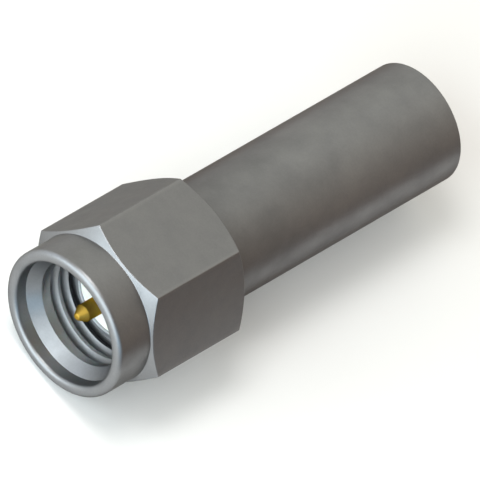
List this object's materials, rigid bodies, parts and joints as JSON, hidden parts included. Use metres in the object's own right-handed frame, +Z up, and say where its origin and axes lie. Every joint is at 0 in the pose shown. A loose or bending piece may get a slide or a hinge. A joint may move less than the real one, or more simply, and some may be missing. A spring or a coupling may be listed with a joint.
{
  "type": "sma connector",
  "caption": "Straight coaxial plug: hexagonal coupling nut with a round collar, a gold pin in white dielectric inside it, and a long plain crimp barrel for the cable.",
  "frame": {"origin": "on the plug's axis at the mating reference plane, which is the front face of the outer conductor", "axes": "-Y points out of the mating side along the contact pin, +Y along the barrel towards the cable, +Z up when the plug lies on a flat of its nut"},
  "size_m": [0.0092, 0.0241, 0.008],
  "materials": {
    "nut_steel": "passivated stainless steel, fine turned",
    "body_steel": "passivated stainless steel, fine turned",
    "ferrule_steel": "passivated stainless steel, satin",
    "spring_bronze": "bare spring bronze",
    "gold_plate": "satin gold plate",
    "ptfe": "turned white fluoropolymer",
    "silicone_rubber": "moulded silicone rubber"
  },
  "bodies": {
    "plug": {"front_body": "body_steel", "rear_body": "body_steel", "crimp_ferrule": "ferrule_steel", "front_insulator": "ptfe", "rear_insulator": "ptfe", "center_contact": "gold_plate", "gasket": "silicone_rubber"},
    "retaining_ring": {"retaining_ring": "spring_bronze"},
    "coupling_nut": {"coupling_nut": "nut_steel"}
  },
  "joints": [
    {"name": "nut_float", "type": "slide", "parent": "plug", "child": "retaining_ring", "axis": [0, 1, 0], "range_m": [-0.0002, 0.0002]},
    {"name": "nut_spin", "type": "hinge", "parent": "retaining_ring", "child": "coupling_nut", "pos_m": [0, 0, 0], "axis": [0, -1, 0], "continuous": true}
  ]
}
